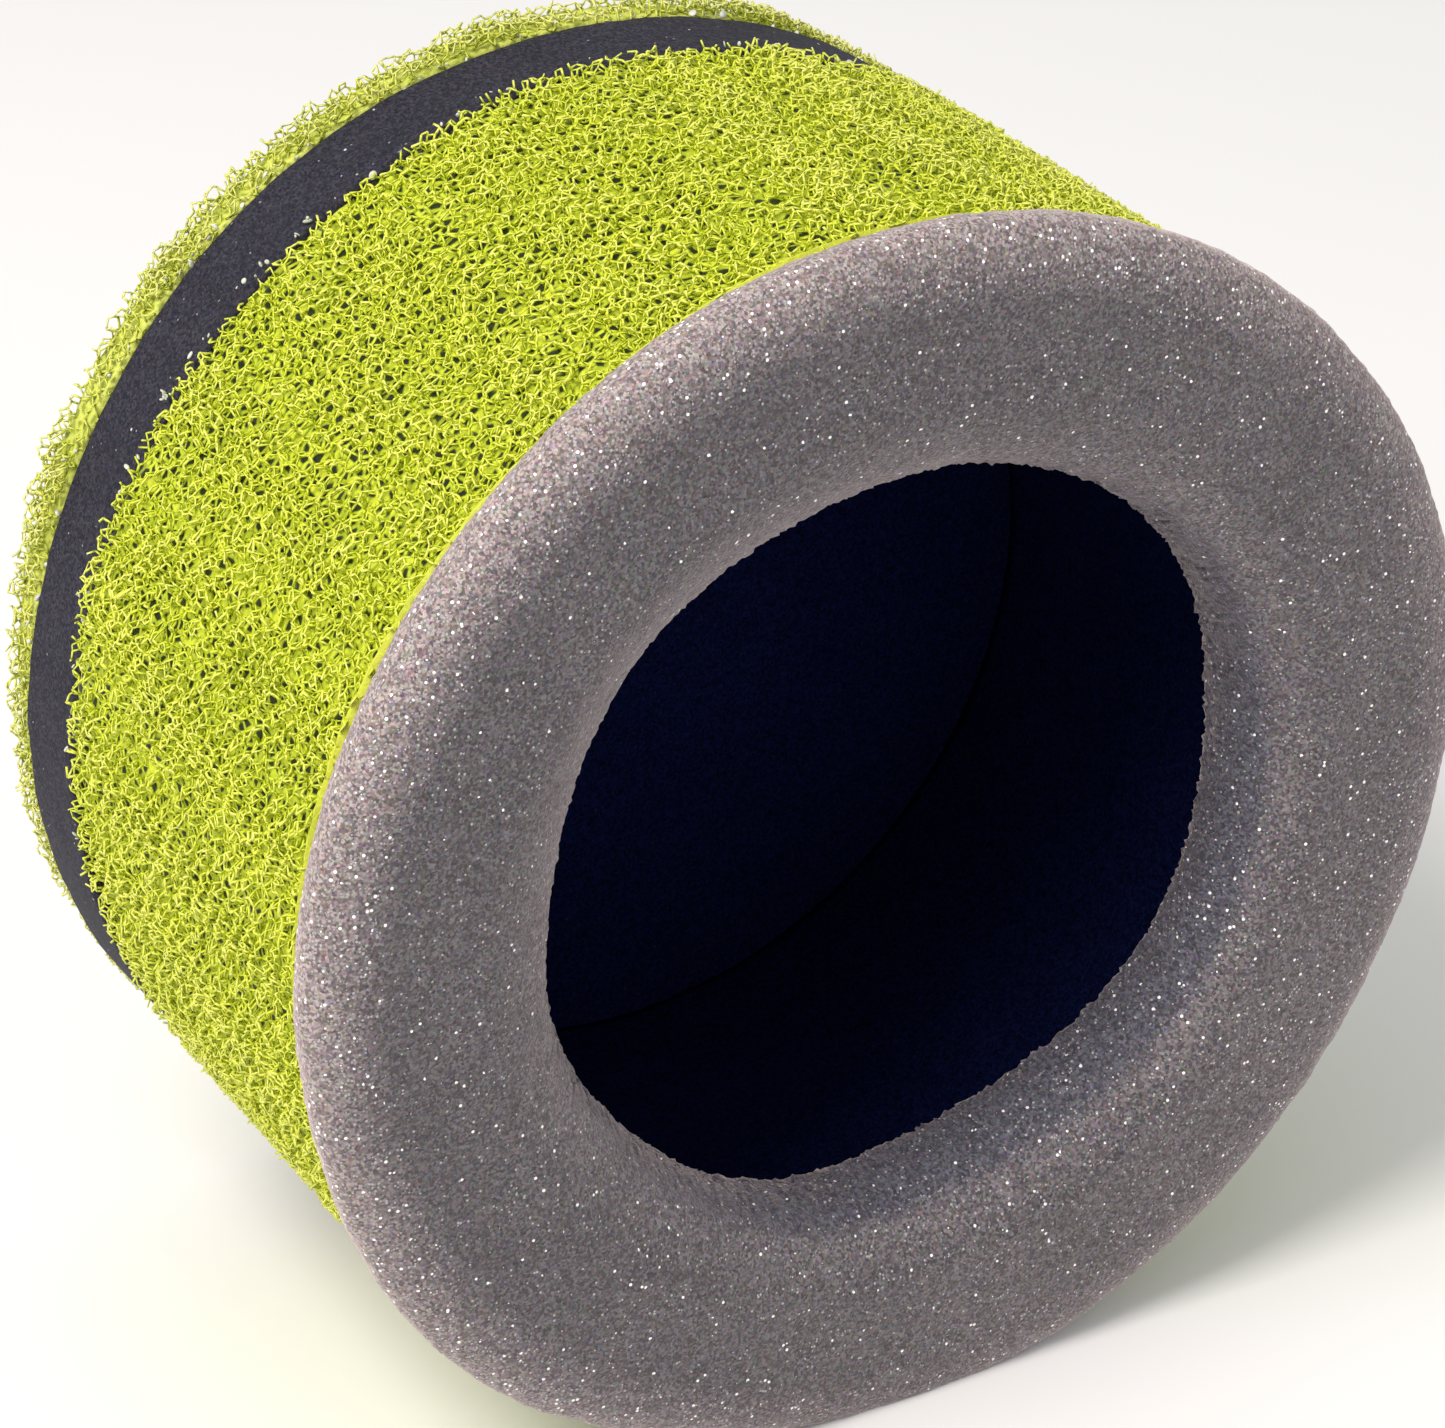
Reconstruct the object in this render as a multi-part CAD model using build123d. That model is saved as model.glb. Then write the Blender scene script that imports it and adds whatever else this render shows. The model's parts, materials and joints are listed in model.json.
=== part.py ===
from build123d import *
import math
import os

# Foam filter element: a cup of two foam sleeves, one inside the other, closed by two foam discs and
# fronted by a soft mouth ring. It lies on its side on a table. Millimetres, +Z up, axis along Y,
# mouth towards -Y, origin on the table at the middle of the bounding box.

# Sleeves, from the cavity outwards
cavity_radius = 48.7        # the cage or spigot that the element is pushed over goes in here
fine_wall = 8.0
layer_gap = 0.3             # the two sleeves only touch through the glue at their ends
coarse_wall = 8.0
sleeve_length = 52.0

# Butt joint that closes each strip of foam into a sleeve
seam_width = 0.5
coarse_seam_angle = 35.0    # about the axis, from straight down towards +X
fine_seam_angle = 215.0

# Mouth ring
ring_thickness = 7.0
ring_proud = 1.2            # how far the ring stands out past the coarse sleeve
bore_radius = 39.0
lip_turn = 37.0             # degrees by which the free inner lip has curled into the cavity
lip_edge_radius = 1.0

# Closed end
fine_disc_thickness = 11.0
coarse_disc_thickness = 5.0
disc_setback = 2.0          # how far the fine disc stays inside the coarse sleeve's outline
coarse_disc_setback = 1.0   # how far the coarse disc stays inside the coarse sleeve's outline
coarse_disc_shift = 0.5     # the coarse disc is glued on by hand, a little off centre, along +Z
disc_edge_radius = 1.0

# Contact adhesive
glue_film = 0.4
glue_setback = 1.0          # the film stops short of the foam's edges

# Soft foam settles into a narrow flat where it rests
settle_depth = 0.8

# Radii that follow
fine_outer_radius = cavity_radius + fine_wall
coarse_inner_radius = fine_outer_radius + layer_gap
outer_radius = coarse_inner_radius + coarse_wall
ring_radius = outer_radius + ring_proud
disc_radius = outer_radius - disc_setback
coarse_disc_radius = outer_radius - coarse_disc_setback
axis_height = outer_radius - settle_depth

# Places along the axis that follow, from the mouth to the closed end
total_length = (ring_thickness + sleeve_length + fine_disc_thickness + coarse_disc_thickness
                + 3 * glue_film)
ring_front = -total_length / 2
ring_back = ring_front + ring_thickness
sleeve_front = ring_back + glue_film
sleeve_back = sleeve_front + sleeve_length
fine_disc_front = sleeve_back + glue_film
fine_disc_back = fine_disc_front + fine_disc_thickness
coarse_disc_front = fine_disc_back + glue_film
coarse_disc_back = coarse_disc_front + coarse_disc_thickness


def turned(profile):
    """Turns a radius-against-length profile round the filter's axis and lifts it to its height."""
    return Pos(0, 0, axis_height) * revolve(profile, Axis.Y)


def tube(inner_radius, radius, front, back):
    """A plain tube, or a disc where the inner radius is zero, between two places on the axis."""
    width = radius - inner_radius
    profile = Pos(inner_radius + width / 2, (front + back) / 2) * Rectangle(width, back - front)
    return turned(profile)


def settled(solid):
    """The solid with the foam that would be under the table pressed flat."""
    depth = 2 * outer_radius
    table = Pos(0, 0, -depth / 2) * Box(2 * depth, 2 * total_length, depth)
    return solid - table


def seam_slot(angle):
    """The flat slot, one strip's end to the other's, at an angle about the axis."""
    reach = 2 * outer_radius
    slot = Pos(0, 0, -reach / 2) * Box(seam_width, 2 * total_length, reach)
    return Pos(0, 0, axis_height) * Rot(0, -angle, 0) * slot


def sleeve_and_seam(inner_radius, radius, angle):
    """A strip of foam bent round into a sleeve, and the glue line of its butt joint."""
    whole = tube(inner_radius, radius, sleeve_front, sleeve_back)
    slot = seam_slot(angle)
    inside = tube(inner_radius + glue_setback, radius - glue_setback, sleeve_front, sleeve_back)
    return settled(whole - slot), inside & slot


def mouth_ring():
    """A soft ring with a half-round rim, whose free inner lip curls into the cavity."""
    rim = ring_thickness / 2
    overhang = cavity_radius - bore_radius
    curl = overhang * math.tan(math.radians(lip_turn) / 2)
    front_rim = (ring_radius - rim, ring_front)
    back_rim = (ring_radius - rim, ring_back)
    front_bend = (cavity_radius, ring_front)
    back_bend = (cavity_radius, ring_back)
    front_lip = (bore_radius, ring_front + curl)
    back_lip = (bore_radius, ring_back + curl)
    inwards = (-1, 0)
    outline = [
        Line(front_bend, front_rim),
        ThreePointArc(front_rim, (ring_radius, ring_front + rim), back_rim),
        Line(back_rim, back_bend),
        TangentArc(back_bend, back_lip, tangent=inwards),
        Line(back_lip, front_lip),
        TangentArc(front_bend, front_lip, tangent=inwards),
    ]
    profile = make_face(outline)
    lips = profile.vertices().sort_by(Axis.X)[:2]
    profile = fillet(lips, min(lip_edge_radius, overhang / 4))
    return settled(turned(profile))


def end_disc(radius, front, back):
    """A flat disc of foam with softened edges."""
    thickness = back - front
    plain = tube(0, radius, front, back)
    rims = plain.edges().filter_by(GeomType.CIRCLE)
    return settled(fillet(rims, min(disc_edge_radius, thickness / 4)))


def glue_ring(inner_radius, radius, front):
    """A thin film of adhesive between two foam faces, kept back from their edges."""
    return tube(inner_radius + glue_setback, radius - glue_setback, front, front + glue_film)


coarse_sleeve, coarse_sleeve_seam = sleeve_and_seam(coarse_inner_radius, outer_radius, coarse_seam_angle)
fine_sleeve, fine_sleeve_seam = sleeve_and_seam(cavity_radius, fine_outer_radius, fine_seam_angle)
off_centre = Pos(0, 0, coarse_disc_shift)

nodes = {
    "coarse_sleeve": coarse_sleeve,
    "coarse_sleeve_seam": coarse_sleeve_seam,
    "fine_sleeve": fine_sleeve,
    "fine_sleeve_seam": fine_sleeve_seam,
    "mouth_ring": mouth_ring(),
    "mouth_ring_glue": glue_ring(cavity_radius, ring_radius - ring_thickness / 2, ring_back),
    "fine_end_disc": end_disc(disc_radius, fine_disc_front, fine_disc_back),
    "end_joint_glue": glue_ring(cavity_radius, disc_radius, sleeve_back),
    "coarse_end_disc": off_centre * end_disc(coarse_disc_radius, coarse_disc_front, coarse_disc_back),
    "disc_bond_glue": tube(0, disc_radius - 2 * glue_setback, fine_disc_back, coarse_disc_front),
}

os.makedirs("parts", exist_ok=True)
for name, solid in nodes.items():
    export_step(solid, f"parts/{name}.step")
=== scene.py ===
import json
import math

import bpy
import numpy as np
from mathutils import Euler, Matrix, Vector


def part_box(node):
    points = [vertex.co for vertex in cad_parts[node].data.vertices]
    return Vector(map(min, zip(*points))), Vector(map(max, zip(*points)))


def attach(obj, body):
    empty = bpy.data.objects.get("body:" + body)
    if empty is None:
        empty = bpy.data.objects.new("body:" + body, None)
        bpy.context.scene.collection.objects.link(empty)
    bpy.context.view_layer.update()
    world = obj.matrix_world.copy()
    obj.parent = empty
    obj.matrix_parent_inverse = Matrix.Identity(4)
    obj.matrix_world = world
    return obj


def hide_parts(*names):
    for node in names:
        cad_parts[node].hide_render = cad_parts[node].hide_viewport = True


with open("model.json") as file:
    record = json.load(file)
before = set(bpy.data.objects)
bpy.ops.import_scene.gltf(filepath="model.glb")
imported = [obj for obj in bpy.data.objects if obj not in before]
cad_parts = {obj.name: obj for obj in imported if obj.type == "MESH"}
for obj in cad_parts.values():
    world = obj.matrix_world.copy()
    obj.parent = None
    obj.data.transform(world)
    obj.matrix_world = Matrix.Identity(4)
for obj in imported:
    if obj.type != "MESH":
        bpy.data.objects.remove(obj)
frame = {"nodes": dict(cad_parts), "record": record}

# A foam filter cup lying on its side: lime open-pore foam over dark fine foam, a grey ring round the
# mouth. Everything is in metres, the cup's axis runs along Y and its mouth looks towards -Y.

MM = 0.001
FULL_TURN = 2 * math.pi
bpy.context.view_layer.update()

# Sizes read from the frame
ring_low, ring_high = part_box("mouth_ring")
sleeve_low, sleeve_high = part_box("coarse_sleeve")
liner_low, liner_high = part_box("fine_sleeve")
dark_low, dark_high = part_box("fine_end_disc")
lime_low, lime_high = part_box("coarse_end_disc")
ring_radius = (ring_high.x - ring_low.x) / 2
sleeve_radius = (sleeve_high.x - sleeve_low.x) / 2
liner_radius = (liner_high.x - liner_low.x) / 2
dark_radius = (dark_high.x - dark_low.x) / 2
lime_radius = (lime_high.x - lime_low.x) / 2
axis_height = sleeve_high.z - sleeve_radius
axis_point = Vector((0, 0, axis_height))
lime_centre = (lime_low + lime_high) / 2
ring_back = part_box("mouth_ring_glue")[0].y
bore_radius = frame["record"]["mounts"][0]["dims"]["r_mm"] * MM
liner_points = [v.co for v in frame["nodes"]["fine_sleeve"].data.vertices]
cavity_radius = min(math.hypot(p.x, p.z - axis_height) for p in liner_points)

# Foam
PORE = 1.85 * MM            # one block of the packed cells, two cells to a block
STRAND = 0.128 * MM         # a strand's radius
STRANDS_PER_PIECE = 24000   # keeps a piece's mesh well under its limit
OPEN_DEPTH = 1.55 * MM      # how deep the open strands are modelled; the shaded body lies just below
FACE_DEPTH = 1.2 * MM       # the same on the disc's wide back
RIM_DEPTH = 1.7 * MM        # the same on the disc's rim
TAPER = 0.9 * MM            # the sleeve narrows this much from the ring to its far end
SEAL = 1.5 * MM             # the sleeve's end beside the ring is pressed dense this far
SEAL_DEPTH = 0.3 * MM       # and there the body comes up to this far below the strands' tops
LAYER_GAP = 0.3 * MM        # between the dark inner sleeve and the lime one
FINE_CELL = 0.28 * MM       # a cell of the fine foams
DEEP_PORE = 1.3 * MM        # a pore of the coarse foam below its modelled strands


# Selecting and editing

def start_edit(mode="VERT"):
    bpy.ops.object.mode_set(mode="EDIT")
    bpy.ops.mesh.select_mode(type=mode)
    bpy.ops.mesh.select_all(action="DESELECT")
    bpy.ops.object.mode_set(mode="OBJECT")
    return bpy.context.object.data


def select_where(kind, test):
    """Selects the vertices, edges or faces of the active mesh whose middle passes the test."""
    mesh = start_edit({"vertices": "VERT", "edges": "EDGE", "polygons": "FACE"}[kind])
    for item in getattr(mesh, kind):
        if kind == "vertices":
            middle = item.co
        elif kind == "edges":
            middle = (mesh.vertices[item.vertices[0]].co + mesh.vertices[item.vertices[1]].co) / 2
        else:
            middle = item.center
        item.select = bool(test(middle))
    bpy.ops.object.mode_set(mode="EDIT")


def end_edit():
    bpy.ops.object.mode_set(mode="OBJECT")
    return bpy.context.object


def points_of(piece):
    flat = np.empty(len(piece.data.vertices) * 3)
    piece.data.vertices.foreach_get("co", flat)
    return flat.reshape(-1, 3)


def set_points(piece, points):
    piece.data.vertices.foreach_set("co", np.asarray(points, np.float32).ravel())
    piece.data.update()


def polar(points):
    """Radius from the cup's axis, angle from straight up towards +X, and place along the axis."""
    across, up = points[:, 0], points[:, 2] - axis_height
    return np.hypot(across, up), np.arctan2(across, up), points[:, 1]


def from_polar(radius, angle, along):
    return np.stack([radius * np.sin(angle), along, axis_height + radius * np.cos(angle)], 1)


def settled(points):
    """Foam that would be under the table is pressed flat on it."""
    points[:, 2] = np.maximum(points[:, 2], 0)
    return points


def waves(angle, along, seed, count, lowest=2, length=0.05):
    """A smooth, closed, uneven pattern round the cup, about one unit high."""
    rng = np.random.default_rng(seed)
    total = np.zeros_like(angle)
    for turns in range(lowest, lowest + count):
        phase, slant = rng.uniform(0, FULL_TURN), rng.normal(0, 1 / length)
        total += np.sin(turns * angle + slant * along + phase) * rng.uniform(0.5, 1)
    return total / math.sqrt(count / 2)


def finished(piece, name, material, slot, *nodes, fill=0.9):
    """Names a foam or glue piece, gives it its material and hands it to the frame."""
    piece.name = piece.data.name = name
    piece.data.materials.clear()
    piece.data.materials.append(material)
    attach(piece, "root")
    if nodes:
        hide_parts(*nodes)
    return piece


# Materials

def new_material(name):
    material = bpy.data.materials.new(name)
    material.use_nodes = True
    tree = material.node_tree
    return material, tree, tree.nodes["Principled BSDF"]


def add_node(tree, kind, settings=(), **inputs):
    made = tree.nodes.new(kind)
    for key, value in dict(settings).items():
        setattr(made, key, value)
    for key, value in inputs.items():
        socket = made.inputs[key.replace("_", " ")]
        if isinstance(value, bpy.types.NodeSocket):
            tree.links.new(value, socket)
        else:
            socket.default_value = value
    return made


def ramp(tree, factor, *stops):
    made = add_node(tree, "ShaderNodeValToRGB", Fac=factor)
    elements = made.color_ramp.elements
    while len(elements) < len(stops):
        elements.new(0.5)
    for element, (place, colour) in zip(elements, stops):
        element.position, element.color = place, (*colour, 1)
    return made.outputs["Color"]


def blend_colour(tree, kind, factor, first, second):
    made = tree.nodes.new("ShaderNodeMix")
    made.data_type, made.blend_type = "RGBA", kind
    for socket, value in zip((made.inputs[0], made.inputs[6], made.inputs[7]), (factor, first, second)):
        if isinstance(value, bpy.types.NodeSocket):
            tree.links.new(value, socket)
        else:
            socket.default_value = value if isinstance(value, float) else (*value, 1)
    return made.outputs[2]


def place_of(tree):
    return add_node(tree, "ShaderNodeTexCoord").outputs["Object"]


def attribute(tree, name):
    """A piece's own painted value, such as its depth in the foam."""
    return add_node(tree, "ShaderNodeAttribute", {"attribute_name": name}).outputs["Fac"]


def cells(tree, size, feature="F1", output="Distance"):
    made = add_node(tree, "ShaderNodeTexVoronoi", {"feature": feature}, Vector=place_of(tree),
                    Scale=1 / size)
    return made.outputs[output]


def noise(tree, size, detail=2.0, output="Fac"):
    made = add_node(tree, "ShaderNodeTexNoise", Vector=place_of(tree), Scale=1 / size, Detail=detail)
    return made.outputs[output]


def height_along(tree, start, end):
    """0 at one place along the cup's axis and 1 at another."""
    place = add_node(tree, "ShaderNodeSeparateXYZ", Vector=place_of(tree)).outputs["Y"]
    made = add_node(tree, "ShaderNodeMapRange", Value=place)
    made.inputs["From Min"].default_value = start
    made.inputs["From Max"].default_value = end
    return made.outputs["Result"]


def bump(tree, height, distance, strength=1.0):
    made = add_node(tree, "ShaderNodeBump", Height=height, Distance=distance, Strength=strength)
    return made.outputs["Normal"]


def lime_strand_material(name, top, middle, deep):
    """Open foam's strands, paler at the surface and darker further in, where their shade is painted in."""
    material, tree, shader = new_material(name)
    # painted shade: the strands darken with their depth in the foam
    colour = ramp(tree, attribute(tree, "depth"), (0.0, top), (0.35, middle), (1.0, deep))
    tone = ramp(tree, noise(tree, 9 * MM, 3.0), (0.3, (0.88, 0.9, 0.82)), (0.7, (1, 1, 1)))
    tree.links.new(blend_colour(tree, "MULTIPLY", 1.0, colour, tone), shader.inputs["Base Color"])
    shader.inputs["Roughness"].default_value = 0.25
    return material


def lime_depth_material(name, wall, middle, edge, pore):
    """What shows between the strands: more foam in painted shade, with dark painted pores in it."""
    material, tree, shader = new_material(name)
    openness = add_node(tree, "ShaderNodeMath", {"operation": "MULTIPLY"},
                        Value=cells(tree, DEEP_PORE, "DISTANCE_TO_EDGE"))
    patches = ramp(tree, noise(tree, 11 * MM, 2.0), (0.35, (0.8, 0.8, 0.8)), (0.6, (1, 1, 1)))
    tree.links.new(patches, openness.inputs[1])
    web = ramp(tree, openness.outputs[0], (0.03, wall), (0.11, middle), (0.17, edge), (0.22, pore))
    near_seal = ramp(tree, height_along(tree, sleeve_low.y + SEAL, sleeve_low.y + 0.6 * SEAL),
                     (0.0, (0, 0, 0)), (1.0, (0.60, 0.62, 0.05)))
    colour = blend_colour(tree, "LIGHTEN", 1.0, web, near_seal)
    tone = ramp(tree, noise(tree, 5 * MM, 3.0), (0.3, (0.8, 0.85, 0.7)), (0.7, (1, 1, 1)))
    tree.links.new(blend_colour(tree, "MULTIPLY", 1.0, colour, tone), shader.inputs["Base Color"])
    tree.links.new(bump(tree, noise(tree, 0.5 * MM), 0.15 * MM), shader.inputs["Normal"])
    shader.inputs["Roughness"].default_value = 0.6
    return material


def ring_painted_light(tree):
    """The ring's painted light and shade: a painted highlight along its rim, a painted highlight on the
    lip's crest and bluish painted shade inside its curl.
    """
    # painted highlight along the rim, standing in for the key light and sheen on the rolled rim
    rim_highlight = ramp(tree, attribute(tree, "rim"), (0.0, (0.32, 0.325, 0.34)), (0.4, (0.50, 0.48, 0.485)),
                (1.0, (1.0, 0.91, 0.85)))
    # painted highlight on the lip's crest and bluish painted shade inside its curl
    lip_light_and_shade = ramp(tree, attribute(tree, "lip"), (0.0, (0.74, 0.74, 0.75)), (0.42, (1.0, 0.98, 0.98)),
                (0.58, (0.92, 0.91, 0.95)), (0.72, (0.60, 0.64, 0.76)))
    return blend_colour(tree, "MULTIPLY", 1.0, rim_highlight, lip_light_and_shade)


def painted_glints(tree, size, share, rim_share, reach):
    """Painted glints, standing in for shiny cell skins that catch the light: 1 on a share of the cells,
    more along a rim.
    """
    by_cell = cells(tree, size, output="Color")
    picked = add_node(tree, "ShaderNodeSeparateColor", Color=by_cell).outputs["Red"]
    limit = add_node(tree, "ShaderNodeMapRange", Value=attribute(tree, "rim"))
    limit.inputs["To Min"].default_value = 1 - share
    limit.inputs["To Max"].default_value = 1 - rim_share
    chosen = add_node(tree, "ShaderNodeMath", {"operation": "GREATER_THAN"}, Value=picked)
    tree.links.new(limit.outputs["Result"], chosen.inputs[1])
    core = add_node(tree, "ShaderNodeMath", {"operation": "LESS_THAN"}, Value=cells(tree, size))
    core.inputs[1].default_value = reach
    both = add_node(tree, "ShaderNodeMath", {"operation": "MULTIPLY"}, Value=chosen.outputs[0])
    tree.links.new(core.outputs[0], both.inputs[1])
    return both.outputs[0]


def fine_foam_material(name, dark, shade, light, glint, share, shine, tone=None):
    """Fine open-cell foam: a granular surface of dark cells, paler cell walls and a few painted glints."""
    material, tree, shader = new_material(name)
    by_cell = cells(tree, FINE_CELL, output="Color")
    chance = add_node(tree, "ShaderNodeSeparateColor", Color=by_cell).outputs["Green"]
    grain = ramp(tree, chance, (0.0, dark), (0.5, shade), (1.0, light))
    pit = noise(tree, FINE_CELL, 3.0)
    pitted = ramp(tree, pit, (0.35, (0.6, 0.6, 0.6)), (0.55, (1, 1, 1)))
    grain = blend_colour(tree, "MULTIPLY", 1.0, grain, pitted)
    hue = noise(tree, 1.6 * FINE_CELL, 1.0, "Color")
    grain = blend_colour(tree, "OVERLAY", 0.42, grain, hue)
    patch = ramp(tree, noise(tree, 14 * MM, 3.0), (0.3, (0.86, 0.87, 0.88)), (0.72, (1, 1, 1)))
    body = blend_colour(tree, "MULTIPLY", 1.0, grain, patch)
    # for the ring: its painted light and shade
    if tone:
        body = blend_colour(tree, "MULTIPLY", 1.0, body, tone(tree))
    # painted glints: cells coloured as small and large highlights, more where the rim is painted lighter
    small = painted_glints(tree, FINE_CELL, 1.6 * share, 10 * share, 0.5)
    soft_glint = tuple(0.42 * part for part in glint)
    body = blend_colour(tree, "MIX", small, body, soft_glint)
    large = painted_glints(tree, 1.5 * FINE_CELL, 0.6 * share, 5 * share, 0.42)
    tree.links.new(blend_colour(tree, "MIX", large, body, glint), shader.inputs["Base Color"])
    tree.links.new(bump(tree, pit, 0.5 * FINE_CELL, 0.9), shader.inputs["Normal"])
    shader.inputs["Roughness"].default_value = 0.7
    shader.inputs["Specular IOR Level"].default_value = shine
    return material


def glue_material():
    """Greyish, slightly shiny, mottled adhesive."""
    material, tree, shader = new_material("dried_contact_adhesive")
    colour = ramp(tree, noise(tree, 1.2 * MM, 4.0), (0.3, (0.42, 0.45, 0.36)),
                  (0.7, (0.72, 0.73, 0.66)))
    tree.links.new(colour, shader.inputs["Base Color"])
    tree.links.new(bump(tree, noise(tree, 0.8 * MM), 0.2 * MM), shader.inputs["Normal"])
    shader.inputs["Roughness"].default_value = 0.3
    return material


lime_strand = lime_strand_material(
    "lime_open_pore_foam", top=(0.83, 0.86, 0.16), middle=(0.71, 0.78, 0.055), deep=(0.60, 0.69, 0.024))
pale_strand = lime_strand_material(
    "pale_lime_open_pore_foam", top=(0.81, 0.81, 0.31), middle=(0.70, 0.73, 0.13), deep=(0.52, 0.60, 0.04))
lime_depth = lime_depth_material(
    "lime_foam_in_shade", wall=(0.66, 0.73, 0.036), middle=(0.51, 0.59, 0.017),
    edge=(0.10, 0.14, 0.004), pore=(0.012, 0.022, 0.001))
pale_depth = lime_depth_material(
    "pale_lime_foam_in_shade", wall=(0.66, 0.70, 0.14), middle=(0.58, 0.62, 0.09),
    edge=(0.48, 0.52, 0.07), pore=(0.30, 0.34, 0.04))
grey_foam = fine_foam_material(
    "grey_fine_foam", dark=(0.21, 0.192, 0.215), shade=(0.45, 0.405, 0.42), light=(0.80, 0.735, 0.745),
    glint=(1.0, 0.96, 0.96), share=0.018, shine=0.3, tone=ring_painted_light)
grey_shader = grey_foam.node_tree.nodes["Principled BSDF"]
grey_shader.inputs["Sheen Weight"].default_value = 0.6
grey_shader.inputs["Sheen Roughness"].default_value = 0.45
grey_shader.inputs["Sheen Tint"].default_value = (1.0, 0.84, 0.82, 1)
navy_foam = fine_foam_material(
    "navy_fine_foam", dark=(0.012, 0.012, 0.022), shade=(0.027, 0.026, 0.040),
    light=(0.050, 0.048, 0.066), glint=(0.55, 0.55, 0.6), share=0.002, shine=0.2)
# the dark fine foam inside the cavity, with the cavity's shade painted into its colour
cavity_shade_foam = fine_foam_material(
    "fine_foam_in_cavity_shade", dark=(0.0025, 0.004, 0.018), shade=(0.0045, 0.0075, 0.040),
    light=(0.008, 0.012, 0.06), glint=(0.02, 0.02, 0.05), share=0.001, shine=0.0)
glue = glue_material()


# Turned foam: a rounded section spun round the axis

DOUBLINGS = 5       # a turned piece is one wedge, doubled this many times
MOST_HALVINGS = 8   # how often an outline's edges may be cut in half to reach its grain
TOUCHING = 1e-6     # points nearer than this are the same point


def foam_section(inner, outer, front, back, corners, grain):
    """The section's outline, radius along X: a plane with rounded corners, cut into short edges.
    corners holds (at the outside, at the back, rounding) for each corner that isn't sharp."""
    bpy.ops.object.select_all(action="DESELECT")
    middle = Vector(((inner + outer) / 2, (front + back) / 2, axis_height))
    bpy.ops.mesh.primitive_plane_add(size=1, location=middle)
    piece = bpy.context.object
    bpy.ops.object.mode_set(mode="EDIT")
    bpy.ops.transform.resize(value=(outer - inner, back - front, 1))
    end_edit()
    bpy.ops.object.transform_apply(location=True, rotation=True, scale=True)
    for at_outside, at_back, rounding in corners:
        corner = Vector((outer if at_outside else inner, back if at_back else front, axis_height))
        select_where("vertices", lambda p: (p - corner).length < TOUCHING)
        bpy.ops.mesh.bevel(offset=rounding, segments=max(3, round(1.6 * rounding / grain)),
                           affect="VERTICES", profile=0.5)
        end_edit()
    bpy.ops.object.mode_set(mode="EDIT")
    bpy.ops.mesh.select_all(action="SELECT")
    bpy.ops.mesh.delete(type="ONLY_FACE")
    end_edit()
    mesh = start_edit("EDGE")
    for _ in range(MOST_HALVINGS):
        for edge in mesh.edges:
            a, b = (mesh.vertices[i].co for i in edge.vertices)
            edge.select = (a - b).length > 1.5 * grain
        if not any(edge.select for edge in mesh.edges):
            break
        bpy.ops.object.mode_set(mode="EDIT")
        bpy.ops.mesh.subdivide(number_cuts=1)
        end_edit()
        mesh = start_edit("EDGE")
    return piece


def spun(piece, steps):
    """Spins the active outline through a wedge, copies that round, and closes seams and poles."""
    mesh = start_edit("EDGE")
    for edge in mesh.edges:
        if all(mesh.vertices[i].co.x < TOUCHING for i in edge.vertices):
            edge.select = True
    bpy.ops.object.mode_set(mode="EDIT")
    bpy.ops.mesh.delete(type="EDGE")
    bpy.ops.mesh.select_all(action="SELECT")
    wedge = FULL_TURN / 2 ** DOUBLINGS
    bpy.ops.mesh.spin(steps=steps // 2 ** DOUBLINGS, angle=wedge, center=axis_point, axis=(0, 1, 0))
    for doubling in range(DOUBLINGS):
        bpy.ops.mesh.select_all(action="SELECT")
        bpy.ops.mesh.duplicate()
        bpy.ops.transform.rotate(value=wedge * 2 ** doubling, orient_axis="Y",
                                 center_override=axis_point)
    bpy.ops.mesh.select_all(action="SELECT")
    bpy.ops.mesh.remove_doubles(threshold=TOUCHING)
    bpy.ops.mesh.normals_make_consistent(inside=False)
    end_edit()
    bpy.ops.object.shade_smooth()
    return piece


def roughened(piece, size, height):
    """Makes a surface uneven with soft noise of one size and height, and applies it."""
    texture = bpy.data.textures.new("uneven_foam", "CLOUDS")
    texture.noise_scale, texture.noise_depth = size, 1
    modifier = piece.modifiers.new("uneven", "DISPLACE")
    modifier.texture, modifier.texture_coords = texture, "LOCAL"
    modifier.strength, modifier.mid_level = height, 0.5
    bpy.context.view_layer.objects.active = piece
    bpy.ops.object.modifier_apply(modifier=modifier.name)
    return piece


# Ring

RING_WIDTH = ring_radius - bore_radius
RING_CURL = 5.2 * MM                # the lip curls this far back into the cavity
RIM_ROUND, RIM_BACK_ROUND = 3.4 * MM, 3.2 * MM
LIP_ROUND, LIP_BACK_ROUND = 3.6 * MM, 1.5 * MM
RIM_ROLL = 7.5 * MM                 # the rim's front is rolled back over this width
MOUTH_LEAN = 1.6 * MM               # the mouth is cut this much off centre, low and towards +X
MOUTH_LEAN_ANGLE = math.radians(118)
RIM_FLAT = 1.3 * MM                 # the ring's outline is a little flat low down on its +X side
RIM_FLAT_ANGLE = math.radians(117)
RIM_FLAT_SPREAD = math.radians(24)
LIP_SHADE = 7.8 * MM                # the lip's painted highlight and shade reach this far out from the mouth
LOW_SIDE = math.radians(135)        # the lip's painted shade is deepest low down, towards +X, and the ring's painted light is strongest there
LOW_SIDE_LIGHT = 0.14                   # and the whole ring gets this much painted light there
RIM_LIGHT_SIDE = math.radians(45)    # the rim's painted highlight is strongest this far round from the top, towards -X
LIP_FRAY = 0.14 * MM                # the lip's cut cells stand this far in and out of line
FRAY_REACH = 3.5 * MM               # out to this far from the mouth


def painted(piece, name, values):
    """Gives a piece's mesh a value at each of its points, for its material to read."""
    made = piece.data.attributes.new(name, "FLOAT", "POINT")
    made.data.foreach_set("value", values.astype(np.float32))


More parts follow.
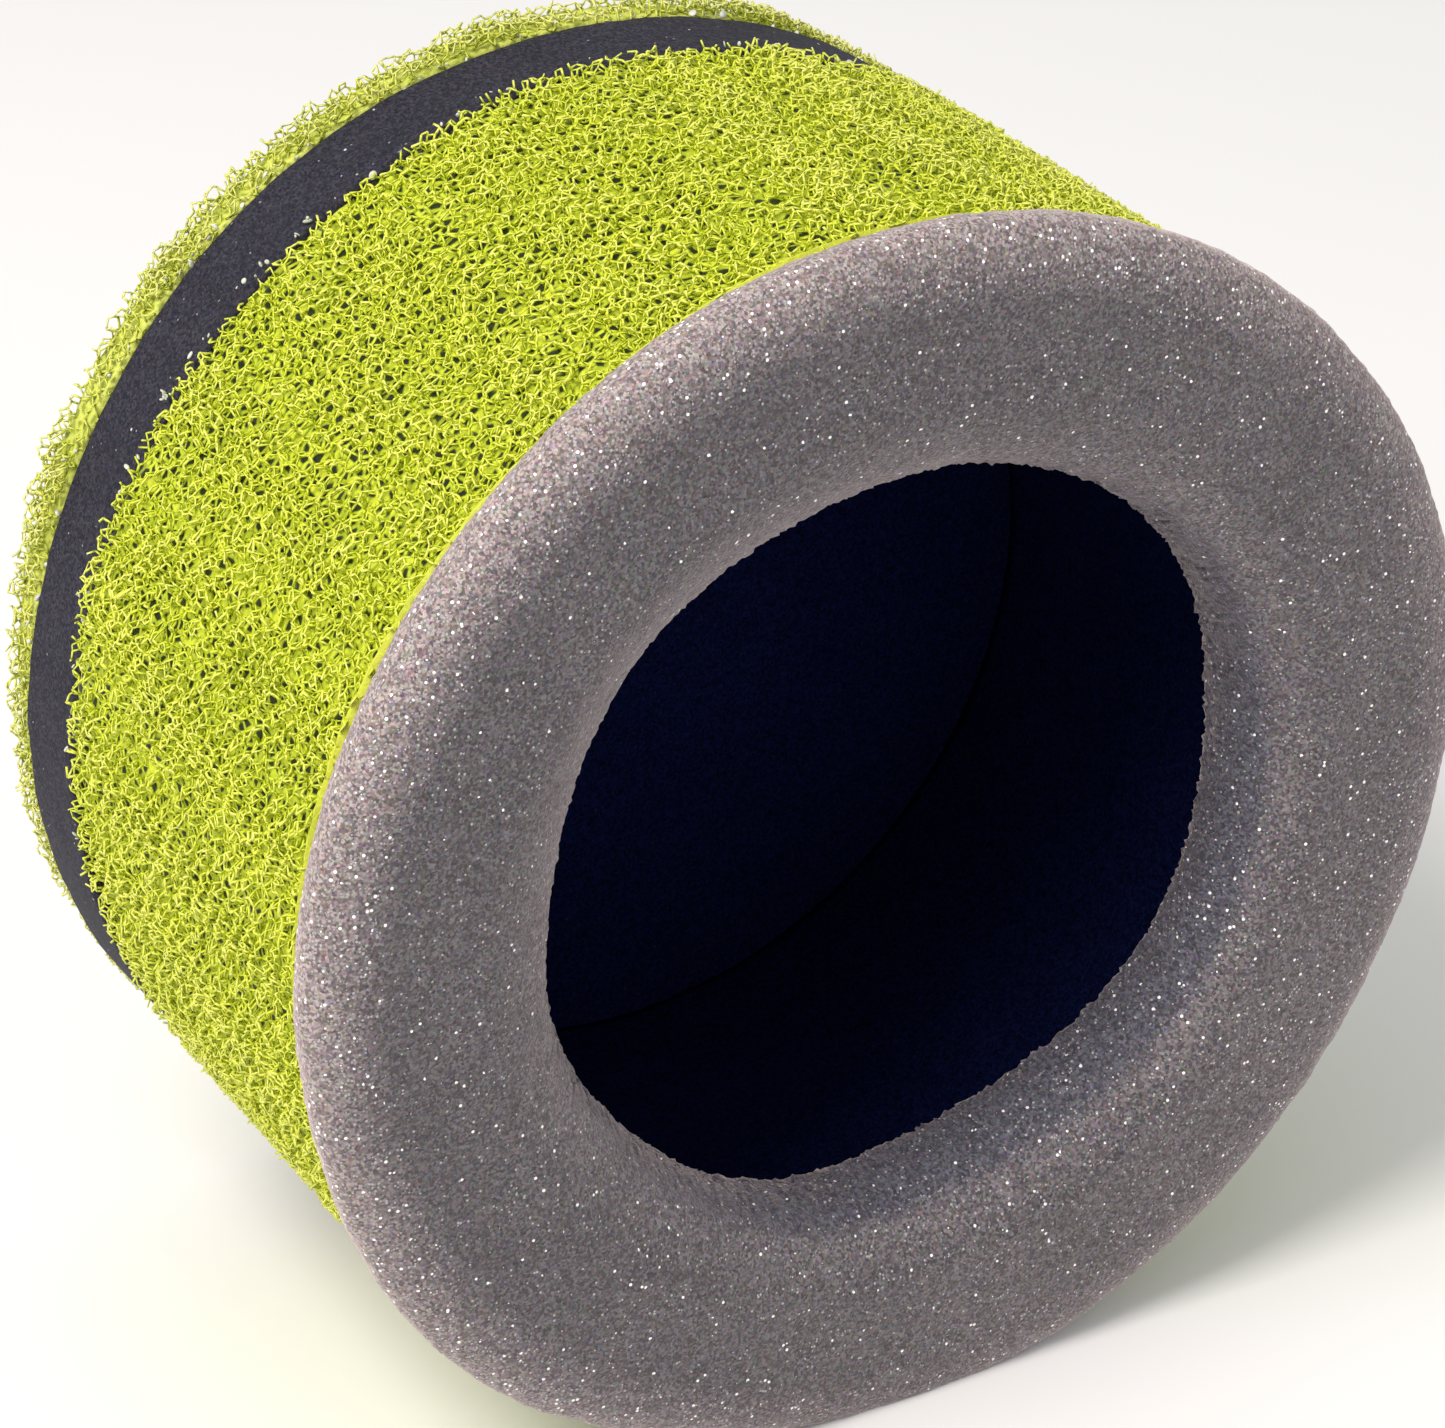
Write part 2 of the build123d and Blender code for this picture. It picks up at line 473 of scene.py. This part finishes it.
def make_mouth_ring():
    """A flat ring of soft foam whose rim is rolled back and whose lip is curled into the cavity."""
    front = ring_low.y
    corners = [(True, False, RIM_ROUND), (True, True, RIM_BACK_ROUND),
               (False, False, LIP_ROUND), (False, True, LIP_BACK_ROUND)]
    outline = foam_section(bore_radius, ring_radius, front, ring_back, corners, grain=0.62 * MM)
    piece = spun(outline, steps=640)
    points = points_of(piece)
    radius, angle, along = polar(points)
    # The rim rolls back and the lip curls in
    middle = (front + ring_back) / 2
    frontness = np.clip((middle - along) / (middle - front), 0, 1) ** 0.7
    from_edge = ring_radius - radius
    squeeze = 1 - (RIM_ROLL - RIM_ROUND) / (RING_WIDTH - RIM_ROUND)
    rolled = np.where(from_edge < RIM_ROUND, from_edge * RIM_ROLL / RIM_ROUND,
                      RIM_ROLL + (from_edge - RIM_ROUND) * squeeze)
    radius -= (rolled - from_edge) * frontness
    inward = np.clip((cavity_radius - radius) / (cavity_radius - bore_radius), 0, 1.1)
    along += RING_CURL * inward ** 1.6 * (1 + 0.12 * waves(angle, along, seed=3, count=4))
    # The outline is uneven and flat low down, and the mouth is cut off centre
    share = np.clip((radius - bore_radius) / RING_WIDTH, 0, 1)
    radius += 0.35 * MM * waves(angle, 0 * along, seed=5, count=6) * share ** 2
    radius -= RIM_FLAT * np.exp(-((angle - RIM_FLAT_ANGLE) / RIM_FLAT_SPREAD) ** 2) * share ** 2
    lean = MOUTH_LEAN * (0.5 + np.cos(angle - MOUTH_LEAN_ANGLE))
    uneven = 0.4 * MM * waves(angle, 0 * along, seed=9, count=5)
    radius += (uneven + lean) * (1 - share) ** 1.5
    # The rim gets a painted highlight, strongest at the upper left, the low +X side some painted light,
    # and the lip its own painted highlight and shade
    # painted highlight along the rim, strongest towards the upper-left light
    painted_rim_light = np.clip(1 - rolled / RIM_ROLL, 0, 1) ** 0.75
    painted_rim_light *= 0.75 + 0.25 * np.cos(angle + RIM_LIGHT_SIDE)
    # painted light over the ring's low +X side
    low_side_light = LOW_SIDE_LIGHT * np.clip(np.cos(angle - LOW_SIDE), 0, 1)
    painted(piece, "rim", np.maximum(painted_rim_light, low_side_light))
    # painted shade inside the lip's curl, deepest low down towards +X, with a painted highlight on its
    # crest
    lip_shade_share = np.clip(1 - share * RING_WIDTH / LIP_SHADE, 0, 1)
    lip_shade_share *= 0.8 + 0.2 * np.cos(angle - LOW_SIDE)
    painted(piece, "lip", lip_shade_share)
    # The face is wavy and grainy, and the lip's cut cells are frayed
    along += 0.25 * MM * waves(angle, radius, seed=12, count=5)
    set_points(piece, from_polar(radius, angle, along))
    roughened(piece, size=6 * MM, height=0.35 * MM)
    roughened(piece, size=0.8 * MM, height=0.3 * MM)
    near_lip = np.clip(1 - share * RING_WIDTH / FRAY_REACH, 0, 1)[:, None]
    fray = np.random.default_rng(14).normal(0, LIP_FRAY, (len(share), 3)) * near_lip
    set_points(piece, settled(points_of(piece) + fray))
    return finished(piece, "mouth_ring_foam", grey_foam, "grey_fine_foam", "mouth_ring")


# Dark foam

def new_slot_where(piece, material, test):
    """Gives the faces whose middle passes the test a second material."""
    piece.data.materials.append(material)
    bpy.context.view_layer.objects.active = piece
    select_where("polygons", test)
    piece.active_material_index = 1
    bpy.ops.object.material_slot_assign()
    return end_edit()


def make_fine_end_disc():
    """The dark disc, with the face that closes the cavity given the same painted shade as the cavity's
    wall.
    """
    rounding = 0.7 * MM
    corners = [(True, False, rounding), (True, True, rounding)]
    outline = foam_section(0, dark_radius, dark_low.y, dark_high.y, corners, grain=1.3 * MM)
    piece = spun(outline, steps=288)
    points = points_of(piece)
    radius, angle, along = polar(points)
    share = (radius / dark_radius) ** 6
    radius += 0.35 * MM * waves(angle, 0 * along, seed=21, count=6) * share
    set_points(piece, from_polar(radius, angle, along))
    roughened(piece, size=5 * MM, height=0.3 * MM)
    roughened(piece, size=0.8 * MM, height=0.12 * MM)
    finished(piece, "fine_end_disc_foam", navy_foam, "dark_fine_foam", "fine_end_disc")
    # the face inside the cavity gets the painted cavity shade
    return new_slot_where(piece, cavity_shade_foam, lambda p: p.y < dark_low.y + 0.4 * MM
                          and math.hypot(p.x, p.z - axis_height) < liner_radius)


def make_fine_sleeve():
    back = dark_low.y + 0.3 * MM      # pressed into the soft disc, so that no gap shows in the corner
    outline = foam_section(cavity_radius, liner_radius, liner_low.y, back, [], grain=2 * MM)
    piece = spun(outline, steps=192)
    roughened(piece, size=5 * MM, height=0.5 * MM)
    roughened(piece, size=1.2 * MM, height=0.15 * MM)
    # the liner gets the painted cavity shade
    return finished(piece, "fine_sleeve_foam", cavity_shade_foam, "dark_fine_foam", "fine_sleeve")


# Lime foam: a shaded body with real strands over it

def sleeve_swell(angle, along):
    """How far the sleeve's surface stands out from a true cylinder: a taper and soft unevenness."""
    share = (along - sleeve_low.y) / (sleeve_high.y - sleeve_low.y)
    return 0.3 * MM * waves(angle, along, seed=47, count=6) - TAPER * share


def make_coarse_sleeve_body():
    """The foam under the sleeve's strands, which comes up to their height at the pressed end."""
    outer = sleeve_radius - OPEN_DEPTH
    inner = liner_radius + LAYER_GAP
    back = sleeve_high.y - 0.1 * MM
    piece = spun(foam_section(inner, outer, sleeve_low.y, back, [], grain=0.8 * MM), steps=512)
    points = points_of(piece)
    radius, angle, along = polar(points)
    just_inside = outer - 0.1 * MM
    sealed = np.clip(1 - (along - sleeve_low.y) / SEAL, 0, 1) * (radius > just_inside)
    radius += (sleeve_radius - SEAL_DEPTH - outer) * np.sqrt(sealed)
    radius += sleeve_swell(angle, along) * (radius > just_inside)
    set_points(piece, from_polar(radius, angle, along))
    roughened(piece, size=1.3 * MM, height=0.5 * MM)
    set_points(piece, settled(points_of(piece)))
    return finished(piece, "coarse_sleeve_body", lime_depth, "coarse_foam", "coarse_sleeve")


def make_coarse_disc_body():
    """The foam under the end disc's strands, paler round its rim."""
    outer = lime_radius - RIM_DEPTH
    back = lime_high.y - FACE_DEPTH
    piece = spun(foam_section(0, outer, lime_low.y, back, [], grain=1 * MM), steps=384)
    set_points(piece, points_of(piece) + (lime_centre.x, 0, lime_centre.z - axis_height))
    roughened(piece, size=1.3 * MM, height=0.5 * MM)
    finished(piece, "coarse_end_disc_body", lime_depth, "coarse_foam", "coarse_end_disc")
    return new_slot_where(piece, pale_depth, lambda p: math.hypot(p.x, p.z - lime_centre.z)
                          > outer - 0.9 * MM)


def foam_cell():
    """One cell of packed foam: an octahedron with its corners cut off at a third of each edge."""
    bpy.ops.object.select_all(action="DESELECT")
    half = 0.75 * PORE
    bpy.ops.mesh.primitive_cone_add(vertices=4, radius1=half, depth=half, end_fill_type="NOTHING",
                                    location=(0, 0, half / 2))
    bpy.ops.object.transform_apply(location=True, rotation=True, scale=True)
    bpy.ops.object.mode_set(mode="EDIT")
    bpy.ops.mesh.select_mode(type="VERT")
    bpy.ops.mesh.select_all(action="SELECT")
    bpy.ops.mesh.duplicate()
    bpy.ops.transform.resize(value=(1, 1, -1), center_override=(0, 0, 0))
    bpy.ops.mesh.select_all(action="SELECT")
    bpy.ops.mesh.remove_doubles(threshold=0.02 * PORE)
    bpy.ops.mesh.bevel(offset_type="PERCENT", offset_pct=100 / 3, affect="VERTICES")
    piece = end_edit()
    corners = points_of(piece)
    struts = np.array([edge.vertices[:] for edge in piece.data.edges])
    bpy.data.objects.remove(piece)
    return corners, struts


def one_strand():
    """A short three-sided rod along Z, from 0 to 1, as its points and its faces."""
    bpy.ops.object.select_all(action="DESELECT")
    bpy.ops.mesh.primitive_cylinder_add(vertices=3, radius=1, depth=1, location=(0, 0, 0.5))
    bpy.ops.object.transform_apply(location=True, rotation=True, scale=True)
    piece = bpy.context.object
    corners = points_of(piece)
    faces = [list(face.vertices) for face in piece.data.polygons]
    bpy.data.objects.remove(piece)
    return corners, faces


CORNER_SHIFT = 0.13 * PORE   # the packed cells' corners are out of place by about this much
EVENING = 0.3                # then move this share of the way to the middle of their neighbours
BENDS, BEND = 8, 0.11 * PORE  # and the whole net is bent by this many waves of this height
LOOSE_SHARE = 0.25           # this share of the loose ends at a cut is left


def packed_net(low, high, turn, seed):
    """Strands of packed, uneven foam that fill a block: their end points and their pairs of ends."""
    rng = np.random.default_rng(seed)
    cell, struts = foam_cell()
    low, high = np.array(low), np.array(high)
    turned = np.array(Euler(turn).to_matrix())
    corners = np.array([[(low, high)[i][0], (low, high)[j][1], (low, high)[k][2]]
                        for i in (0, 1) for j in (0, 1) for k in (0, 1)]) @ turned / PORE
    ranges = [np.arange(math.floor(a) - 1, math.ceil(b) + 2, dtype=np.int16)
              for a, b in zip(corners.min(0), corners.max(0))]
    grid = np.stack(np.meshgrid(*ranges, indexing="ij"), -1).reshape(-1, 3).astype(np.float32)
    found = []      # the cells' middles: the corners and the middles of a turned grid's blocks
    for offset in (0.0, 0.5):
        sites = (grid + offset) * PORE
        placed = sites @ turned.T.astype(np.float32)
        near = ((placed > low - PORE) & (placed < high + PORE)).all(1)
        found.append(sites[near])
    sites = np.concatenate(found).astype(float)
    points = (sites[:, None] + cell[None]).reshape(-1, 3)
    pairs = (np.arange(len(sites))[:, None, None] * len(cell) + struts[None]).reshape(-1, 2)
    # Corners and edges that neighbouring cells share become one
    grid_places = np.rint(points * 4 / PORE).astype(np.int64)
    grid_places -= grid_places.min(0)
    spans = grid_places.max(0) + 1
    key = (grid_places[:, 0] * spans[1] + grid_places[:, 1]) * spans[2] + grid_places[:, 2]
    _, first, index = np.unique(key, return_index=True, return_inverse=True)
    points = points[first] @ turned.T
    pairs = np.sort(index[pairs], 1)
    pairs = np.unique(pairs[:, 0] * len(points) + pairs[:, 1])
    pairs = np.stack([pairs // len(points), pairs % len(points)], 1)
    # The net is made uneven
    points += rng.normal(0, CORNER_SHIFT, points.shape)
    touching = np.bincount(pairs.ravel(), minlength=len(points))[:, None]
    start, end = pairs.T
    around = np.stack([np.bincount(start, points[end, k], len(points))
                       + np.bincount(end, points[start, k], len(points)) for k in range(3)], 1)
    points = (1 - EVENING) * points + EVENING * around / np.maximum(touching, 1)
    for _ in range(BENDS):
        direction, wave = rng.normal(size=3), rng.normal(size=3)
        wave *= FULL_TURN / (rng.uniform(4, 12) * PORE * np.linalg.norm(wave))
        phase = rng.uniform(0, FULL_TURN)
        points += (BEND * direction) * np.sin(points @ wave + phase)[:, None]
    return points, pairs


def trimmed(pairs, kept, ends_allowed, seed):
    """Drops most of the strands that a cut has left with a loose end, so that it shows whole cells."""
    rng = np.random.default_rng(seed)
    for _ in range(2):
        touching = np.bincount(pairs[kept].ravel(), minlength=pairs.max() + 1)
        loose = (touching[pairs] == 1).any(1)
        kept &= ~loose | ends_allowed | (rng.random(len(pairs)) < LOOSE_SHARE)
    return kept


def strand_pieces(name, material, points, pairs, depth, order, seed):
    """Copies one strand along every pair of ends, and shares the strands out among several pieces.
    Pieces are cut where order says, and depth is 0 at the foam's surface and 1 at the body."""
    rng = np.random.default_rng(seed)
    rod, faces = one_strand()
    pieces = math.ceil(len(pairs) / STRANDS_PER_PIECE)
    rank = np.argsort(order, kind="stable")
    for number, chosen in enumerate(np.array_split(rank, pieces), 1):
        start, end = points[pairs[chosen, 0]], points[pairs[chosen, 1]]
        along = end - start
        spin = rng.normal(size=along.shape)
        side = np.cross(along, spin)
        side /= np.linalg.norm(side, axis=1)[:, None]
        other = np.cross(along, side)
        other /= np.linalg.norm(other, axis=1)[:, None]
        thick = (STRAND * rng.uniform(0.75, 1.25, len(chosen)))[:, None, None]
        placed = (start[:, None] + along[:, None] * rod[None, :, 2:3]
                  + thick * (side[:, None] * rod[None, :, 0:1] + other[:, None] * rod[None, :, 1:2]))
        placed = settled(placed.reshape(-1, 3))
        mesh = bpy.data.meshes.new(name)
        corners = np.concatenate([np.array(face) for face in faces])
        sizes = np.array([len(face) for face in faces])
        count = len(chosen)
        shift = np.arange(count)[:, None] * len(rod)
        mesh.vertices.add(count * len(rod))
        mesh.vertices.foreach_set("co", placed.astype(np.float32).ravel())
        mesh.loops.add(count * len(corners))
        mesh.loops.foreach_set("vertex_index", (shift + corners[None]).astype(np.int32).ravel())
        mesh.polygons.add(count * len(sizes))
        starts = np.cumsum(np.tile(sizes, count)) - np.tile(sizes, count)
        mesh.polygons.foreach_set("loop_start", starts.astype(np.int32))
        mesh.polygons.foreach_set("use_smooth", np.ones(count * len(sizes), bool))
        mesh.update(calc_edges=True)
        piece = bpy.data.objects.new(name, mesh)
        bpy.context.scene.collection.objects.link(piece)
        painted(piece, "depth", np.repeat(np.clip(depth[chosen], 0, 1), len(rod)))
        finished(piece, f"{name}_{number}", material, "coarse_foam")


SEAM_ANGLE = math.radians(145)   # the butt joint lies low on the right, from straight up towards +X
SEAM_GAP = 0.2 * MM              # the strands stop this far from it on each side


def make_coarse_sleeve_strands():
    """Strands in a flat block, as long as the sleeve is round, that is then bent round the axis."""
    around = FULL_TURN * sleeve_radius
    low = (0, sleeve_low.y - PORE, -OPEN_DEPTH)
    high = (around, sleeve_high.y + 2 * PORE, 0)
    points, pairs = packed_net(low, high, turn=(0.45, 0.6, 0.3), seed=31)
    middle = points[pairs].mean(1)
    angle = middle[:, 0] / sleeve_radius
    ragged = (0.5 * MM * waves(angle, 0 * angle, seed=41, count=14, lowest=5)
              + 0.25 * MM * waves(angle, 0 * angle, seed=43, count=30, lowest=40))
    cut = 0.12 * MM * waves(angle, middle[:, 1], seed=45, count=10, lowest=20, length=4 * MM)
    kept = (middle[:, 2] > -OPEN_DEPTH) & (middle[:, 2] < cut)
    kept &= (middle[:, 1] > sleeve_low.y - 0.2 * MM) & (middle[:, 1] < sleeve_high.y + ragged)
    kept &= (middle[:, 0] > SEAM_GAP) & (middle[:, 0] < around - SEAM_GAP)
    kept = trimmed(pairs, kept, middle[:, 1] > sleeve_high.y - 0.6 * MM, seed=32)
    angle = SEAM_ANGLE + points[:, 0] / sleeve_radius
    radius = sleeve_radius + points[:, 2] + sleeve_swell(angle, points[:, 1])
    strand_pieces("coarse_sleeve_strands", lime_strand, from_polar(radius, angle, points[:, 1]),
                  pairs[kept], depth=-middle[kept, 2] / OPEN_DEPTH, order=middle[kept, 0], seed=51)


def make_coarse_disc_strands():
    """Strands on the end disc's rim and back, cut from a block and glued on a little off centre."""
    reach = lime_radius + PORE
    low = (-reach, lime_low.y - PORE, -reach)
    high = (reach, lime_high.y + PORE, reach)
    points, pairs = packed_net(low, high, turn=(0.5, 0.35, 0.7), seed=61)
    middle = points[pairs].mean(1)
    radius = np.hypot(middle[:, 0], middle[:, 2])
    angle = np.arctan2(middle[:, 0], middle[:, 2])
    uneven = waves(angle, middle[:, 1], seed=63, count=20, lowest=6, length=3 * MM)
    edge = lime_radius - 0.4 * MM + 0.35 * MM * uneven
    from_rim, from_back = edge - radius, lime_high.y - middle[:, 1]
    kept = (from_rim > 0) & (from_back > 0) & (middle[:, 1] > lime_low.y - 0.3 * MM)
    kept &= (from_rim < RIM_DEPTH) | (from_back < FACE_DEPTH)
    nowhere = np.zeros(len(pairs), bool)
    kept = trimmed(pairs, kept, nowhere, seed=62)
    depth = np.minimum(from_rim / RIM_DEPTH, from_back / FACE_DEPTH)
    points = points + (lime_centre.x, 0, lime_centre.z)
    strand_pieces("coarse_end_disc_strands", pale_strand, points, pairs[kept],
                  depth=depth[kept], order=angle[kept], seed=65)


# Glue

def bead():
    """One small flattened drop of adhesive, as its points and its faces."""
    bpy.ops.object.select_all(action="DESELECT")
    bpy.ops.mesh.primitive_ico_sphere_add(subdivisions=2, radius=1)
    piece = bpy.context.object
    corners = points_of(piece) * (1, 1, 0.45)
    faces = [list(face.vertices) for face in piece.data.polygons]
    bpy.data.objects.remove(piece)
    return corners, faces


def beads(name, places, sizes, seed):
    """Copies the drop to each place, turned and stretched a little differently each time."""
    rng = np.random.default_rng(seed)
    drop, faces = bead()
    corners, all_faces = [], []
    for number, (place, size) in enumerate(zip(places, sizes)):
        turn = np.array(Euler(rng.uniform(0, math.pi, 3)).to_matrix())
        stretch = rng.uniform(0.6, 1.7, 3)
        corners.append((drop * stretch * size) @ turn + place)
        all_faces += [[index + number * len(drop) for index in face] for face in faces]
    mesh = bpy.data.meshes.new(name)
    mesh.from_pydata(settled(np.concatenate(corners)).tolist(), [], all_faces)
    mesh.shade_smooth()
    piece = bpy.data.objects.new(name, mesh)
    bpy.context.scene.collection.objects.link(piece)
    return finished(piece, name, glue, "adhesive", fill=None)


def make_glue_beads():
    """Adhesive squeezed out of the joints: along the two discs' joint and at the sleeve's far end."""
    rng = np.random.default_rng(71)
    joints = (("disc_bond_beads", 160, dark_radius + 0.1 * MM, lime_low.y),
              ("end_joint_beads", 130, dark_radius + 0.6 * MM, dark_low.y))
    for name, count, joint_radius, joint in joints:
        angle = rng.uniform(0, FULL_TURN, count)
        radius = joint_radius + rng.normal(0, 0.3 * MM, count)
        along = joint + rng.normal(0, 0.5 * MM, count)
        sizes = rng.uniform(0.12, 0.34, count) * MM
        beads(name, from_polar(radius, angle, along), sizes, seed=72)


SEAM_CUTS = 60      # the glue line is cut into this many lengths, so that it can wander and swell


def make_seam_line():
    """The bead of adhesive along the coarse sleeve's butt joint, uneven as it was squeezed out."""
    bpy.ops.object.select_all(action="DESELECT")
    low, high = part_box("coarse_sleeve_seam")
    bpy.ops.mesh.primitive_cylinder_add(vertices=10, radius=0.4 * MM, depth=high.y - low.y - 1 * MM)
    piece = bpy.context.object
    bpy.ops.object.mode_set(mode="EDIT")
    bpy.ops.mesh.select_all(action="SELECT")
    bpy.ops.transform.rotate(value=math.pi / 2, orient_axis="X", center_override=(0, 0, 0))
    bpy.ops.transform.translate(value=(0, (low.y + high.y) / 2, 0))
    end_edit()
    for cut in range(SEAM_CUTS):
        place = low.y + (cut + 0.5) * (high.y - low.y) / SEAM_CUTS
        select_where("vertices", lambda p: True)
        bpy.ops.mesh.bisect(plane_co=(0, place, 0), plane_no=(0, 1, 0))
        end_edit()
    across, along, up = points_of(piece).T
    wobble = waves(40 * along, 0 * along, seed=81, count=9)
    swell = 1 + 0.3 * waves(90 * along, 0 * along, seed=83, count=9)
    angle = SEAM_ANGLE + (across * swell + 0.25 * MM * wobble) / sleeve_radius
    radius = sleeve_radius - 0.7 * MM + up * swell + sleeve_swell(angle, along)
    set_points(piece, settled(from_polar(radius, angle, along)))
    bpy.ops.object.shade_smooth()
    return finished(piece, "coarse_sleeve_glue_line", glue, "adhesive", "coarse_sleeve_seam", fill=None)


def make_hidden_glue():
    """The films inside the joints stay as they are and only get the adhesive's look."""
    for node in ("mouth_ring_glue", "end_joint_glue", "disc_bond_glue", "fine_sleeve_seam"):
        for slot in frame["nodes"][node].material_slots:
            slot.material = glue


# Stage

def make_stage():
    """A pale floor that the cup lies on."""
    bpy.ops.object.select_all(action="DESELECT")
    bpy.ops.mesh.primitive_plane_add(size=8)
    floor = bpy.context.object
    floor.name = "floor"
    material, tree, shader = new_material("pale_floor")
    tree.links.new(ramp(tree, noise(tree, 0.4), (0, (0.86, 0.86, 0.86)), (1, (0.9, 0.9, 0.9))),
                   shader.inputs["Base Color"])
    shader.inputs["Roughness"].default_value = 0.9
    floor.data.materials.append(material)


def soft_light(name, power, size, place, colour):
    """A square light that looks at the middle of the cup."""
    lamp = bpy.data.lights.new(name, "AREA")
    lamp.energy, lamp.size, lamp.color = power, size, colour
    stand = bpy.data.objects.new(name, lamp)
    bpy.context.scene.collection.objects.link(stand)
    stand.location = Vector(place)
    stand.rotation_euler = (axis_point - Vector(place)).to_track_quat("-Z", "Y").to_euler()


def make_lights():
    """A warm light high on the left, a weak cool one in front, and white light all round."""
    soft_light("key_light", 8.2, 0.45, (-0.55, -0.15, 0.78), (1.0, 0.93, 0.87))
    soft_light("fill_light", 1.2, 0.9, (0.3, -1.0, 0.3), (0.93, 0.96, 1.0))
    world = bpy.data.worlds.new("studio")
    bpy.context.scene.world = world
    world.use_nodes = True
    world.node_tree.nodes["Background"].inputs["Color"].default_value = (1, 1, 1, 1)
    world.node_tree.nodes["Background"].inputs["Strength"].default_value = 0.65
    bpy.context.scene.view_settings.view_transform = "Standard"


VIEW_TURN, VIEW_HEIGHT = math.radians(-30.3), math.radians(28.5)
VIEW_DISTANCE = 600 * MM
VIEW_LENS = 145.4
VIEW_AIM = (-0.66 * MM, 1.87 * MM)  # how far the cup's middle sits right of and above the view's
VIEW_MIDDLE = 1.9 * MM              # the aimed point's place along the axis


def make_camera():
    """A camera that looks down at the mouth from its left."""
    level = math.cos(VIEW_HEIGHT)
    back = Vector((math.sin(VIEW_TURN) * level, -math.cos(VIEW_TURN) * level, math.sin(VIEW_HEIGHT)))
    right = Vector((math.cos(VIEW_TURN), math.sin(VIEW_TURN), 0))
    up = back.cross(right)
    data = bpy.data.cameras.new("camera")
    data.lens, data.sensor_width = VIEW_LENS, 36
    data.clip_start, data.clip_end = 0.01, 20
    camera = bpy.data.objects.new("camera", data)
    bpy.context.scene.collection.objects.link(camera)
    camera.location = (axis_point + Vector((0, VIEW_MIDDLE, 0)) + back * VIEW_DISTANCE
                       - right * VIEW_AIM[0] - up * VIEW_AIM[1])
    camera.rotation_euler = Matrix((right, up, back)).transposed().to_euler()
    bpy.context.scene.camera = camera


make_mouth_ring()
make_fine_end_disc()
make_fine_sleeve()
make_coarse_sleeve_body()
make_coarse_disc_body()
make_coarse_sleeve_strands()
make_coarse_disc_strands()
make_glue_beads()
make_seam_line()
make_hidden_glue()
make_stage()
make_lights()
make_camera()
